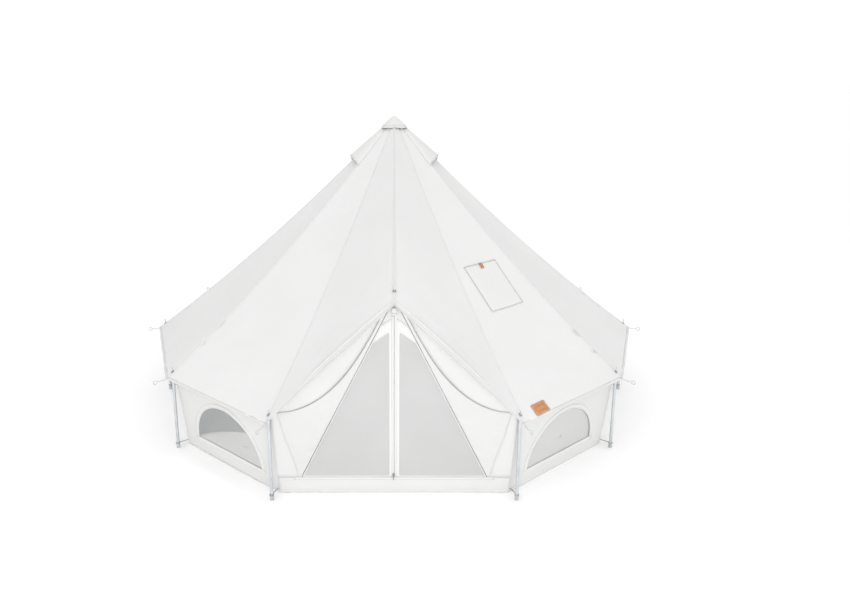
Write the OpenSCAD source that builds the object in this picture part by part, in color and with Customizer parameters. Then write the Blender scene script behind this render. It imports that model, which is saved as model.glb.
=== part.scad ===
// Bell tent: eleven-sided canvas tent with an A-frame door, one centre pole and low side walls.
// Origin on the ground under the centre pole, door towards -Y, +Z up. "Right" is +X.

/* [Plan] */
// Distance from the centre pole to the top of each wall pole
tent_r = 2500; // [2400:10:2600]
// Half of the angle that the door side takes, seen from the centre pole
front_half = 24.45; // [23.5:0.05:25.5]
// Distance from the centre pole to the foot of each wall corner
wall_foot_r = 2405; // [2395:5:2415]

/* [Roof] */
// Height at which the roof's hips would meet
peak_z = 2966; // [2900:2:3050]
// Height of the roof at the wall poles
eave_z = 790; // [780:2:820]
// How far the hips hang below a straight line, at mid length
hip_sag = 90; // [60:5:100]
// How far the eave reaches past the wall poles
eave_reach = 72; // [60:1:90]
// Distance from the centre pole to the roof's front peak over the door
porch_y = 2240; // [2230:5:2260]
// Height of the roof's front peak
porch_z = 1742; // [1730:2:1760]

/* [Walls] */
// Height of the top edge of the side walls
wall_top_z = 772; // [740:2:774]
// Radius of the half-moon windows
window_r = 450; // [380:5:460]
// Height of the window sills above the ground
sill_z = 152; // [140:2:180]

/* [Door] */
// Distance from the centre pole to the front wall
front_y = 2190; // [2185:1:2195]
// Height of the band below the door screens
band_z = 155; // [130:1:180]
// Height where the two door edges would meet
door_apex_z = 1782; // [1776:2:1790]
// Half of the door's width at the ground
door_half = 875; // [860:5:885]
// Angle that the tied-back canvas door stands off the wall
flap_angle = 7.5; // [7:0.5:12]

/* [Poles] */
// Radius of the centre pole
centre_r = 19; // [16:0.5:20]
// Radius of the wall poles
wall_pole_r = 14; // [11:0.5:14]
// Radius of the door pole's legs
door_pole_r = 13; // [10:0.5:13]

/* [Cloth] */
// Thickness of the canvas
canvas_t = 3; // [2:0.5:3]
// Thickness of the mosquito net
net_t = 1.5; // [1:0.5:2]

/* [Hidden] */
$fn = 48;
sides = 10;                                  // equal sides, beside the wide door side
side_step = (360 - 2 * front_half) / sides;
seam = 0.5;                                  // half of the gap between two sewn pieces
sheet_t = 3;                                 // groundsheet
roof_top_r = 60;                             // where the gores end under the cap
stove_rings = [1300, 1760];                  // the flat stretch of roof round the stove opening
roof_rings = [roof_top_r, 500, 900, stove_rings[0], stove_rings[1], 2160, tent_r, tent_r + eave_reach];
eave_fall = 0.746;                           // fall of the eave over its reach
wall_top_r = tent_r - 20;
wall_foot_z = 2;
foot_lean = 21;                              // wall poles stand this much further out at the foot
spike_r = 4;
spike_hole_r = 6.5;
spike_over_pole = 70;                         // length of spike above its pole
door_spike_y = 2105;
door_spike_top = 1868;
leg_foot = [910, -2160, 16];
leg_top = [18, -door_spike_y, 1762];
leg_along = (leg_top - leg_foot) / norm(leg_top - leg_foot);
leg_joint = leg_top - 120 * leg_along;
ridge_sag = 15;
slip = 0.3;                                  // play between a tube and the part around it
pole_base_z = 12;                            // centre pole: its foot, its joint and its top
pole_joint_z = 1500;
pole_top_z = 2920.5;
sleeve_wall = 3;
sleeve_h = 160;
plug_h = 33;
cap_tip_z = 2974;
cap_r = 128;
cap_rim_z = 2868;
cap_rise = 32;                               // the cap's rim rises this much over the door's ridge
cap_t = 4.5;
eyelet_r = 15;
eyelet_hole_r = 7.5;
eyelet_t = 2.4;
eyelet_lift = 1.6;                           // eyelets lie this far over the roof
corner_roll = 21;                            // the front eyelets bridge the bend between two gores
corner_raise = 11;
link_z = 48;
link_t = 4;
fold_slope = door_half / door_apex_z;
zip_half = 42;                               // half of the door's centre band
flap_y = front_y + 16;
hood_a = 78;                                 // vents look this far round from the door
hood_spread = 25;
cover_gap = 10;                              // window covers hang this far inside the wall
cover_open = 105;                            // the left cover is open, the right one closed
stove_side = -24;
stove_r = 1526;
stove_size = [420, 505];
rope_r = 3;
eye_r = 17;

canvas_colour = "#f0f0ec";
shade_colour = "#e4e4df";
net_colour = "#c9cac8";
steel_colour = "#b9c0c4";
dark_colour = "#3a3d3f";
leather_colour = "#b5835a";
sheet_colour = "#8d9296";
eyelet_colour = "#8f9496";
link_colour = "#7d8386";
zip_colour = "#d8d8d4";
jack_colour = "#9a9c9b";
rope_colour = "#d9d6cc";

wall_pole_names = [for (k = [0:sides]) str("wall_pole_", k)];
gore_names = [for (k = [0:sides - 1]) str("roof_gore_", k)];

// ---- Places ----

// A point at radius r, turned by a from the door towards +X
function polar(r, a, z) = [r * sin(a), -r * cos(a), z];

// Angle of corner k: 0 is the right front corner, 10 the left front corner
function corner_a(k) = front_half + k * side_step;
function side_a(k) = corner_a(k) + side_step / 2;

// Height of a hip at radius r, and of the ridge over the door at distance d
function sagged(top, end, sag, u) = top + (end - top) * u - 4 * sag * u * (1 - u);
function hip_z(r) = r <= tent_r ? sagged(peak_z, eave_z, hip_sag, r / tent_r)
                                : eave_z - (r - tent_r) * eave_fall;
function ridge_z(d) = sagged(peak_z, porch_z, ridge_sag, d / porch_y);

// Height of the roof between two hips, at radius r and angle a
function roof_z(r, a) =
    let (k = floor((a - front_half) / side_step))
    hip_z(r * cos(a - side_a(k)) / cos(side_step / 2));

// Slope of the gores between two hip radii
function gore_tilt(r1, r2) = atan((hip_z(r1) - hip_z(r2)) / ((r2 - r1) * cos(side_step / 2)));

// The door edge, as a distance from the centre line
function fold_x(z) = fold_slope * (door_apex_z - z);

// ---- Building blocks ----

// Closed sheet: a grid of points, rows from the top and columns from the left, and its copy at off
module sheet(grid, off) {
    rows = len(grid);
    cols = len(grid[0]);
    n = rows * cols;
    face = [for (row = grid) for (p = row) p];
    back = [for (p = face) p + off];
    skin = [for (i = [0:rows - 2]) for (j = [0:cols - 2]) let (a = i * cols + j)
            each [[a, a + 1, a + cols + 1], [a, a + cols + 1, a + cols]]];
    lining = [for (f = skin) [f[0] + n, f[2] + n, f[1] + n]];
    top = [for (j = [0:cols - 2]) [j + 1, j, j + n, j + 1 + n]];
    low = [for (j = [0:cols - 2]) let (a = (rows - 1) * cols + j) [a, a + 1, a + 1 + n, a + n]];
    left = [for (i = [0:rows - 2]) let (a = i * cols) [a, a + cols, a + cols + n, a + n]];
    right = [for (i = [0:rows - 2]) let (a = i * cols + cols - 1)
             [a + cols, a, a + n, a + cols + n]];
    polyhedron(concat(face, back), concat(skin, lining, top, low, left, right));
}

// Round bar from p to q, turned about its own axis
module rod(p, q, r, turn = 0) {
    d = q - p;
    translate(p)
        rotate([0, acos(d[2] / norm(d)), atan2(d[1], d[0])])
            rotate([0, 0, turn]) cylinder(h = norm(d), r = r);
}

// Children turned about the right door edge by an angle; negative turns them outwards
module about_fold(angle, y) {
    base = [fold_x(band_z), -y, band_z];
    dir = [fold_x(door_apex_z) - fold_x(0), 0, door_apex_z];
    translate(base) rotate(a = angle, v = dir) translate(-base) children();
}

// A flat piece in the front wall's plane: x is across, y is up
module upright(y, t) {
    translate([0, t / 2 - y, 0]) rotate([90, 0, 0]) linear_extrude(t) children();
}

// Children in side wall k: x is along the wall, y is up from the ground line, z is outwards
module in_wall_frame(k) {
    foot_y = wall_foot_r * cos(side_step / 2);
    top_y = wall_top_r * cos(side_step / 2);
    tilt = atan((top_y - foot_y) / wall_top_z);
    rotate([0, 0, side_a(k)]) translate([0, -foot_y, 0]) rotate([90 + tilt, 0, 0]) children();
}

// A flat piece in the middle of side wall k
module in_wall(k, t) {
    in_wall_frame(k) translate([0, 0, -t / 2]) linear_extrude(t) children();
}

// Children on gore k at hip radius r, with x along the eave, y up the slope, z out of the roof
module on_gore(k, r, across, tilt) {
    rotate([0, 0, side_a(k)])
        translate([across, -r * cos(side_step / 2), hip_z(r)]) rotate([tilt, 0, 0]) children();
}

// ---- Ground and centre pole ----

module groundsheet() {
    r = wall_foot_r - 12;                    // just inside the walls
    color(sheet_colour)
        linear_extrude(sheet_t)
            polygon([for (k = [0:sides]) [r * sin(corner_a(k)), -r * cos(corner_a(k))]]);
}

module centre_pole_lower() {
    color(steel_colour)
        translate([0, 0, pole_base_z]) cylinder(h = pole_joint_z - pole_base_z, r = centre_r);
}

module centre_pole_upper() {
    low = pole_joint_z + seam;
    color(steel_colour) translate([0, 0, low]) cylinder(h = pole_top_z - low, r = centre_r);
}

module centre_pole_sleeve() {
    color(steel_colour)
        translate([0, 0, pole_joint_z - sleeve_h / 2])
            difference() {
                cylinder(h = sleeve_h, r = centre_r + sleeve_wall);
                translate([0, 0, -1]) cylinder(h = sleeve_h + 2, r = centre_r + slip);
            }
}

module centre_pole_foot() {
    color(dark_colour)
        difference() {
            translate([0, 0, sheet_t]) {
                cylinder(h = 8, r = 2 * centre_r);
                cylinder(h = 55, r = centre_r + 4);
            }
            translate([0, 0, pole_base_z]) cylinder(h = 60, r = centre_r + slip);
        }
}

module centre_pole_cap() {
    r = centre_r + sleeve_wall;
    color(dark_colour)
        translate([0, 0, pole_top_z + seam])
            rotate_extrude()
                polygon([[0, 0], [r, 0], [r, 10], [16, 24], [6, plug_h - 1], [0, plug_h]]);
}

// ---- Door pole ----

module door_leg(grow = 0) {
    rod(leg_foot, leg_joint, door_pole_r + grow);
}

module door_pole_right() {
    color(steel_colour) door_leg();
}

module door_pole_left() {
    color(steel_colour) mirror([1, 0, 0]) door_leg();
}

// Head of the door pole: a solid arm over each leg, a block between them and the spike
module door_pole_connector() {
    block_z = leg_top[2] - 14;
    color(steel_colour) {
        for (m = [0, 1])
            mirror([m, 0, 0])
                rod(leg_joint + seam * leg_along, leg_top, door_pole_r + sleeve_wall, 180);
        translate([-20, -door_spike_y - 17, block_z]) cube([40, 34, 24]);
        translate([0, -door_spike_y, leg_top[2]]) cylinder(h = door_spike_top - leg_top[2], r = spike_r);
    }
}

// ---- Wall poles and their fittings ----

function pole_foot(k, z) = polar(tent_r + foot_lean * (1 - z / eave_z), corner_a(k), z);

module wall_pole(k) {
    color(steel_colour) {
        rod(pole_foot(k, 4), pole_foot(k, 768), wall_pole_r);
        translate(pole_foot(k, 766)) cylinder(h = spike_over_pole + 2, r = spike_r);
    }
}

module pole_feet() {
    color(dark_colour) {
        for (k = [0:sides])
            difference() {
                rod(pole_foot(k, 0.6), pole_foot(k, 45), wall_pole_r + 2.5);
                rod(pole_foot(k, 3.8), pole_foot(k, 60), wall_pole_r + slip);
            }
        for (m = [0, 1])
            mirror([m, 0, 0])
                difference() {
                    translate([leg_foot[0], leg_foot[1], sheet_t]) cylinder(h = 24, r = 22);
                    door_leg(slip);
                }
    }
}

// Flat ring round a spike, over the roof; tilt and roll follow the cloth
module eyelet(place, turn, tilt, roll = 0, raise = 0) {
    translate(place + [0, 0, raise]) rotate([0, 0, turn]) rotate([tilt, 0, 0]) rotate([0, roll, 0])
        translate([0, 0, raise > 0 ? -eyelet_t / 2 : eyelet_lift])
            difference() {
                cylinder(h = eyelet_t, r = eyelet_r);
                translate([0, 0, -1]) cylinder(h = eyelet_t + 2, r = eyelet_hole_r);
            }
}

module grommets() {
    hip_tilt = atan(eave_fall);
    color(eyelet_colour) {
        for (k = [1:sides - 1]) eyelet(polar(tent_r, corner_a(k), eave_z), corner_a(k), hip_tilt);
        for (m = [0, 1])
            mirror([m, 0, 0])
                eyelet(polar(tent_r, front_half, eave_z), front_half, hip_tilt, corner_roll, corner_raise);
        eyelet([0, -door_spike_y, ridge_z(door_spike_y)], 0,
               atan((ridge_z(door_spike_y) - porch_z) / (porch_y - door_spike_y)));
    }
}

// Steel link between each wall corner and its pole
module wall_links() {
    pole_at = norm([pole_foot(0, 30)[0], pole_foot(0, 30)[1]]);
    color(link_colour)
        for (k = [0:sides])
            rotate([0, 0, corner_a(k)])
                translate([0, 0, link_z]) {
                    difference() {
                        translate([0, -pole_at, 0]) cylinder(h = link_t, r = wall_pole_r + 6);
                        translate([0, -pole_at, -1]) cylinder(h = link_t + 2, r = wall_pole_r + 1);
                    }
                    translate([-link_t, wall_pole_r + 3 - pole_at, 0])
                        cube([2 * link_t, pole_at - wall_foot_r - wall_pole_r - 15, link_t]);
                }
}

// ---- Roof ----

// Point of hip k at radius r, moved along the eave of side s by the seam gap
function hip_edge(k, s, r, gap) =
    polar(r, corner_a(k), hip_z(r)) + gap * [cos(side_a(s)), sin(side_a(s)), 0];

module spike_holes() {
    for (k = [0:sides])
        translate(polar(tent_r, corner_a(k), eave_z - 40)) cylinder(h = 90, r = spike_hole_r);
    translate([0, -door_spike_y, 1750]) cylinder(h = 120, r = spike_hole_r);
}

module roof_gore(k) {
    color(canvas_colour)
        difference() {
            sheet([for (r = roof_rings) [hip_edge(k, k, r, seam), hip_edge(k + 1, k, r, -seam)]],
                  [0, 0, -canvas_t / cos(40)]);
            spike_holes();
        }
}

// Right half of the roof over the door, from the centre ridge to the front hip
module front_gore() {
    last = tent_r + eave_reach;
    difference() {
        sheet([for (r = roof_rings) let (d = roof_top_r + (porch_y - roof_top_r) * (r - roof_top_r)
                                             / (last - roof_top_r))
                  [[seam, -d, ridge_z(d)], hip_edge(0, 0, r, -seam)]],
              [0, 0, -canvas_t / cos(35)]);
        spike_holes();
    }
}

module roof_front_right() {
    color(canvas_colour) front_gore();
}

module roof_front_left() {
    color(canvas_colour) mirror([1, 0, 0]) front_gore();
}

// Height of the cap's rim at angle a
function cap_edge_z(a) = cap_rim_z + cap_rise * exp(-pow((a > 180 ? a - 360 : a) / 14, 2));

// Peak cap: a thin cone with a blunt tip, open below
module roof_cap() {
    turns = [0:10:350];
    n = len([for (a = turns) a]);
    shell = [for (drop = [0, cap_t])
             each concat([[0, 0, cap_tip_z - drop]], [for (a = turns) polar(16, a, cap_tip_z - 4 - drop)],
                         [for (a = turns) polar(cap_r, a, cap_edge_z(a) - drop)])];
    inside = 2 * n + 1;
    color(shade_colour)
        polyhedron(shell, [for (j = [0:n - 1])
            let (a = 1 + j, b = 1 + (j + 1) % n, c = a + n, d = b + n)
            each [[0, b, a], [a, b, d], [a, d, c],
                  [inside, inside + a, inside + b], [inside + a, inside + d, inside + b],
                  [inside + a, inside + c, inside + d], [c, d, inside + d], [c, inside + d, inside + c]]]);
}

// Vent hood: a raised sheet from under the cap, open at its lower edge
function hood_row(r, spread, lift) = [for (j = [-1:0.5:1])
    let (a = hood_a + j * spread) polar(r, a, roof_z(r, a) + 6 + lift * (1 - j * j))];

module vent_hood() {
    sheet([hood_row(130, hood_spread, 8), hood_row(290, hood_spread, 40),
           hood_row(440, hood_spread, 62)], [0, 0, -canvas_t]);
}

module vent_hood_right() {
    color(shade_colour) vent_hood();
}

module vent_hood_left() {
    color(shade_colour) mirror([1, 0, 0]) vent_hood();
}

// Net across each hood's open end, a little inside its lower edge
module vent_net() {
    r = 425;
    grid = [for (lift = [1, 0]) [for (j = [-1:0.5:1])
        let (a = hood_a + j * (hood_spread - 5))
        polar(r, a, roof_z(r, a) + 14 + lift * (1 + 36 * (1 - j * j)))]];
    sheet(grid, -2 * [sin(hood_a), -cos(hood_a), 0]);
}

module vent_nets() {
    color(dark_colour) {
        vent_net();
        mirror([1, 0, 0]) vent_net();
    }
}

// ---- Walls ----

module wall_shape() {
    foot = wall_foot_r * sin(side_step / 2) - 3;
    top = wall_top_r * sin(side_step / 2) - 3;
    polygon([[-foot, wall_foot_z], [foot, wall_foot_z], [top, wall_top_z], [-top, wall_top_z]]);
}

module half_moon(r) {
    intersection() {
        circle(r = r);
        translate([-r, 0]) square([2 * r, r]);
    }
}

module window_wall(k) {
    color(shade_colour)
        in_wall(k, canvas_t)
            difference() {
                wall_shape();
                translate([0, sill_z]) half_moon(window_r);
            }
}

module wall_right_window() {
    window_wall(0);
}

module wall_left_window() {
    window_wall(sides - 1);
}

module wall_panels() {
    color(shade_colour) for (k = [1:sides - 2]) in_wall(k, canvas_t) wall_shape();
}

module window_nets() {
    color(net_colour)
        for (k = [0, sides - 1])
            in_wall(k, net_t) translate([0, sill_z + 1]) half_moon(window_r - 2);
}

// Canvas cover on the inside of a window, hinged at the sill and laid open by an angle
module window_cover(k, open) {
    in_wall_frame(k)
        translate([0, sill_z + 4, -cover_gap]) rotate([-open, 0, 0])
            translate([0, 0, -canvas_t / 2]) linear_extrude(canvas_t) half_moon(window_r + 18);
}

module window_cover_right() {
    color(canvas_colour) window_cover(0, 0);
}

module window_cover_left() {
    color(canvas_colour) window_cover(sides - 1, cover_open);
}

// Canvas between the door edge and the right front corner
function wall_r(z) = wall_foot_r + (wall_top_r - wall_foot_r) * z / wall_top_z;

module front_wall() {
    mid_z = wall_top_z - 8;
    low_z = band_z + 2;
    y = front_y + canvas_t / 2;
    sheet([[[fold_x(1742) + 3, -y, 1742], [fold_x(1742) + 9, -y, 1737]],
           [[fold_x(mid_z) + 3, -y, mid_z], polar(wall_r(mid_z) - 4, front_half, mid_z)],
           [[fold_x(band_z) + 3, -y, low_z], polar(wall_r(low_z) - 4, front_half, low_z)]],
          [0, canvas_t, 0]);
}

module front_wall_right() {
    color(shade_colour) front_wall();
}

module front_wall_left() {
    color(shade_colour) mirror([1, 0, 0]) front_wall();
}

module threshold_band() {
    half = wall_foot_r * sin(front_half) - 4;
    color(canvas_colour) upright(front_y, canvas_t) translate([-half, wall_foot_z])
        square([2 * half, band_z - wall_foot_z]);
}

// ---- Door screens: canvas frame, net and zip ----

module screen_shape() {
    polygon([[seam, band_z + 3], [fold_x(band_z) - 6, band_z + 3],
             [fold_x(1740) - 3, 1740], [seam, 1740]]);
}

module net_shape(shrink) {
    low = band_z + 14 + shrink;
    side = 16 + shrink;
    polygon([[zip_half + shrink, low], [fold_x(low) - side, low],
             [fold_x(1390) - side, 1390 - shrink], [zip_half + shrink, 1490 - shrink]]);
}

module door_frame() {
    upright(front_y, canvas_t)
        difference() {
            screen_shape();
            net_shape(0);
        }
}

module door_frame_right() {
    color(canvas_colour) door_frame();
}

module door_frame_left() {
    color(canvas_colour) mirror([1, 0, 0]) door_frame();
}

module door_net_right() {
    color(net_colour) upright(front_y, net_t) net_shape(0.5);
}

module door_net_left() {
    color(net_colour) mirror([1, 0, 0]) upright(front_y, net_t) net_shape(0.5);
}

// Coil zip up the middle of the door, on the left screen
module door_zip() {
    color(zip_colour) upright(front_y + 3.4, 3) translate([-12, band_z + 6]) square([11, 1480]);
}

module zip_slider() {
    color(dark_colour)
        translate([-6.5, -front_y - 9, band_z + 12])
            difference() {
                union() {
                    translate([-8, -3.5, 0]) cube([16, 7, 30]);
                    translate([-4, -6, -34]) cube([8, 3, 46]);
                }
                translate([0, 0, -26]) rotate([90, 0, 0]) cylinder(h = 20, r = 2.2, center = true);
            }
}

// ---- Canvas doors, tied back ----

// Outline of the right canvas door as it hangs from its edge to the tie at the front corner
module flap_shape() {
    top_z = 1712;
    polygon([[fold_x(band_z) + 6, band_z + 8], [845, 353], [905, 568], [945, 702], [975, 800],
             [945, 822], [830, 848], [690, 912], [550, 1012], [413, 1150], [292, 1313], [172, 1513],
             [92, 1662], [fold_x(top_z) + 8, top_z]]);
}

module door_flap() {
    about_fold(-flap_angle, flap_y) upright(flap_y, canvas_t) flap_shape();
}

module door_flap_right() {
    color(canvas_colour) door_flap();
}

module door_flap_left() {
    color(canvas_colour) mirror([1, 0, 0]) door_flap();
}

// ---- Stove opening and badge on the right front gore ----

module stove_plate(size, lift) {
    top_r = stove_rings[0];
    tilt = gore_tilt(top_r, stove_rings[1]);
    place_z = hip_z(top_r) - (stove_r - top_r) * cos(side_step / 2) * tan(tilt);
    rotate([0, 0, side_a(0)])
        translate([stove_side, -stove_r * cos(side_step / 2), place_z]) rotate([tilt, 0, 0])
            translate([-size[0] / 2, -size[1] / 2, lift]) cube([size[0], size[1], canvas_t]);
}

module stove_jack() {
    color(jack_colour) stove_plate([350, 430], 1);
}

module stove_cover() {
    color(canvas_colour) stove_plate(stove_size, 5);
}

module leather_badge() {
    color(leather_colour)
        on_gore(0, tent_r + 7, -428, atan(eave_fall / cos(side_step / 2)))
            translate([-85, -52, 1.5]) cube([170, 104, 2.5]);
}

// ---- Guy ropes: the short rope eyes at the eave corners ----

module guy_ropes() {
    start = tent_r + eave_reach + 2;
    color(rope_colour)
        for (k = [0:sides])
            rotate([0, 0, corner_a(k)])
                translate([0, -start, hip_z(start) - 2]) rotate([90 + 6, 0, 0]) {
                    cylinder(h = 82, r = rope_r, $fn = 16);
                    translate([0, 0, 80 + eye_r]) rotate([90, 0, 0])
                        rotate_extrude() translate([eye_r, 0]) circle(r = rope_r, $fn = 16);
                }
}

groundsheet();
centre_pole_lower();
centre_pole_upper();
centre_pole_sleeve();
centre_pole_foot();
centre_pole_cap();
door_pole_left();
door_pole_right();
door_pole_connector();
pole_feet();
grommets();
wall_links();
for (k = [0:sides]) wall_pole(k);
for (k = [0:sides - 1]) roof_gore(k);
roof_front_left();
roof_front_right();
roof_cap();
vent_hood_left();
vent_hood_right();
vent_nets();
wall_left_window();
wall_right_window();
wall_panels();
front_wall_left();
front_wall_right();
threshold_band();
door_frame_left();
door_frame_right();
door_net_left();
door_net_right();
door_zip();
zip_slider();
door_flap_left();
door_flap_right();
window_nets();
window_cover_left();
window_cover_right();
stove_jack();
stove_cover();
leather_badge();
guy_ropes();
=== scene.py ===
"""Bell tent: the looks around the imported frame. Everything is in metres, in the frame's own axes."""
import math

import bmesh
import bpy
import numpy as np
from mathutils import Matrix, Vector, noise


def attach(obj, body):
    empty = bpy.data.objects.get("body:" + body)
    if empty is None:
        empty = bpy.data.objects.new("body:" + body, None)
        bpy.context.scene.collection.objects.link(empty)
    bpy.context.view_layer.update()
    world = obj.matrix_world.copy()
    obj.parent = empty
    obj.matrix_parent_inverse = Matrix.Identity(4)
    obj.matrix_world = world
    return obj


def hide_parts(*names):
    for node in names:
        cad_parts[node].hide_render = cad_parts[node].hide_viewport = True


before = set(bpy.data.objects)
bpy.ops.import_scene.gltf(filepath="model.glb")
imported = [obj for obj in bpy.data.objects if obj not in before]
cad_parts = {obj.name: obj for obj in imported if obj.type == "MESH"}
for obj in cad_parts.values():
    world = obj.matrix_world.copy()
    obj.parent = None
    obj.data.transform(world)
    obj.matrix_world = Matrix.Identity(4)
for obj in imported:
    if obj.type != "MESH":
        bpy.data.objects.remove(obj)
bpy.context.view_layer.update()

# ---- Driving dimensions, as in part.scad ----
TENT_R = 2.5
FRONT_HALF = math.radians(24.45)
SIDES = 10
STEP = (2 * math.pi - 2 * FRONT_HALF) / SIDES
PEAK_Z, EAVE_Z, HIP_SAG = 2.966, 0.790, 0.090
EAVE_REACH, EAVE_FALL = 0.072, 0.746
PORCH_Y, PORCH_Z, RIDGE_SAG = 2.240, 1.742, 0.015
ROOF_TOP_R = 0.060
WALL_FOOT_R, WALL_TOP_R, WALL_TOP_Z = 2.405, 2.480, 0.772
FRONT_Y, BAND_Z = 2.190, 0.155
DOOR_APEX_Z, DOOR_HALF = 1.782, 0.875
SILL_Z, WINDOW_R = 0.152, 0.450
ZIP_HALF = 0.042
FLAP_Y = FRONT_Y + 0.016
HOOD_A, HOOD_SPREAD = math.radians(78), math.radians(25)
STOVE_SIDE, STOVE_R, STOVE_SIZE = -0.024, 1.526, (0.420, 0.505)
ROPE_R, EYE_R = 0.003, 0.017
CLOTH_T, HEM_T, TAPE_T, WELD = 0.0016, 0.0014, 0.0006, 0.0004
SCREEN_TOP_Z, NET_TOP_Z, NET_SIDE_Z = 1.740, 1.490, 1.390
FLAP_TOP_Z, COIL_Z, COIL_TOP_Z = 1.712, 1.280, 1.720
ACROSS = (0.0, 0.25, 0.5, 0.75, 1.0)


# ---- Places ----
def polar(r, a, z):
    return np.array([r * math.sin(a), -r * math.cos(a), z])


def corner_a(k):
    return FRONT_HALF + k * STEP


def side_a(k):
    return corner_a(k) + STEP / 2


def sagged(top, end, sag, u):
    return top + (end - top) * u - 4 * sag * u * (1 - u)


def hip_z(r):
    if r <= TENT_R:
        return sagged(PEAK_Z, EAVE_Z, HIP_SAG, r / TENT_R)
    return EAVE_Z - (r - TENT_R) * EAVE_FALL


def ridge_z(d):
    """Height of the ridge over the door; it dips to lie under the peak cap."""
    return sagged(PEAK_Z, PORCH_Z, RIDGE_SAG, d / PORCH_Y) - 0.034 * math.exp(-(d / 0.2) ** 2)


def fold_x(z):
    return DOOR_HALF / DOOR_APEX_Z * (DOOR_APEX_Z - z)


FOLD_LEAN = math.atan2(DOOR_HALF, DOOR_APEX_Z)


def smooth(t):
    t = min(max(t, 0.0), 1.0)
    return t * t * (3 - 2 * t)


def hills(x, y, seed):
    """Soft noise from -1 to 1, the same on every run."""
    return noise.noise(Vector((x, y, 13.7 * seed)))


EAVE_R = TENT_R + EAVE_REACH


def roof_edges(k, r):
    """The two ends of the roof's row at hip radius r. Gores "right" and "left" are the roof over the door."""
    if k in ("right", "left"):
        side = 1 if k == "right" else -1
        d = ROOF_TOP_R + (PORCH_Y - ROOF_TOP_R) * (r - ROOF_TOP_R) / (EAVE_R - ROOF_TOP_R)
        ridge = np.array([0.0, -d, ridge_z(d)])
        hip = polar(r, side * FRONT_HALF, hip_z(r))
        return (ridge, hip) if side > 0 else (hip, ridge)
    return polar(r, corner_a(k), hip_z(r)), polar(r, corner_a(k + 1), hip_z(r))


def roof_normal(k, r):
    a, b = roof_edges(k, r)
    c, d = roof_edges(k, min(r + 0.02, EAVE_R + 0.02))
    n = np.cross((c + d) - (a + b), b - a)
    return n / np.linalg.norm(n)


def roof_point(k, u, r, lift=0.0):
    """A point of the roof's cloth: u from 0 to 1 across gore k, r the hip radius, lift out of the cloth."""
    a, b = roof_edges(k, r)
    number = {"right": 11, "left": 12}.get(k, k)
    across = np.linalg.norm(b - a)
    belly = math.sin(math.pi * u)
    down = r / TENT_R
    slack = -0.013 * belly * smooth(down * 1.6) * smooth((1.06 - down) * 4)
    drag = 0.0
    for end, along in ((0.0, u), (1.0, 1 - u)):
        away = math.hypot(along * across, (TENT_R - r) * 1.3)
        turn = math.atan2(along * across, abs(TENT_R - r) * 1.3 + 0.02)
        fade = math.exp(-away / 0.42) * smooth(along * across / 0.20)
        drag += 0.0048 * fade * math.sin(15 * turn + 3.1 * end + number)
    soft = 0.0042 * belly * hills(u * across * 2.6, r * 0.9, number)
    soft += 0.0022 * belly * hills(u * across * 7.5, r * 2.1, number + 20)
    eave = smooth((r - 2.25) / 0.3) * 0.0035 * math.sin(math.pi * u * 9 + number) * belly
    return a + (b - a) * u + roof_normal(k, r) * (slack + drag + soft + eave + lift)


# ---- Mesh building ----
def new_object(name, points, faces, uvs=None):
    mesh = bpy.data.meshes.new(name)
    mesh.from_pydata([tuple(p) for p in points], [], faces)
    if uvs is not None:
        layer = mesh.uv_layers.new(name="UVMap")
        where = np.empty(len(mesh.loops), np.int32)
        mesh.loops.foreach_get("vertex_index", where)
        layer.data.foreach_set("uv", np.array(uvs, np.float32)[where].ravel())
    mesh.update()
    obj = bpy.data.objects.new(name, mesh)
    bpy.context.scene.collection.objects.link(obj)
    for p in mesh.polygons:
        p.use_smooth = True
    return obj


def grid_parts(rows, closed=False, start=0):
    """Points, quads and metre UVs of rows of points; each row runs across and the rows run down."""
    count, cols = len(rows), len(rows[0])
    points = [np.asarray(p, float) for row in rows for p in row]
    wrap = cols if closed else cols - 1
    faces = []
    for i in range(count - 1):
        for j in range(wrap):
            a, b = i * cols + j, i * cols + (j + 1) % cols
            faces.append((start + a, start + a + cols, start + b + cols, start + b))
    grid = np.array(points).reshape(count, cols, 3)
    across = np.zeros((count, cols))
    down = np.zeros((count, cols))
    across[:, 1:] = np.cumsum(np.linalg.norm(np.diff(grid, axis=1), axis=2), axis=1)
    down[1:, :] = np.cumsum(np.linalg.norm(np.diff(grid, axis=0), axis=2), axis=0)
    across -= across.mean(axis=1, keepdims=True)
    return points, faces, np.stack([across, down], axis=-1).reshape(-1, 2)


def grid_object(name, rows, closed=False):
    points, faces, uvs = grid_parts(rows, closed)
    return new_object(name, points, faces, uvs)


def many_grids(name, grids):
    """One object of several separate grids."""
    points, faces, uvs = [], [], []
    for rows in grids:
        p, f, t = grid_parts(rows, start=len(points))
        points += p
        faces += f
        uvs += list(t)
    return new_object(name, points, faces, uvs)


def weld(obj):
    """Join the points that lie within the weld distance and turn every face the same way."""
    bm = bmesh.new()
    bm.from_mesh(obj.data)
    bmesh.ops.remove_doubles(bm, verts=bm.verts, dist=WELD)
    bmesh.ops.recalc_face_normals(bm, faces=bm.faces)
    bm.to_mesh(obj.data)
    bm.free()
    return obj


def thicken(obj, t, offset=-1.0):
    mod = obj.modifiers.new("thickness", "SOLIDIFY")
    mod.thickness = t
    mod.offset = offset
    mod.use_even_offset = False
    return obj


def surface_area(obj):
    return sum(p.area for p in obj.data.polygons)


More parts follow.
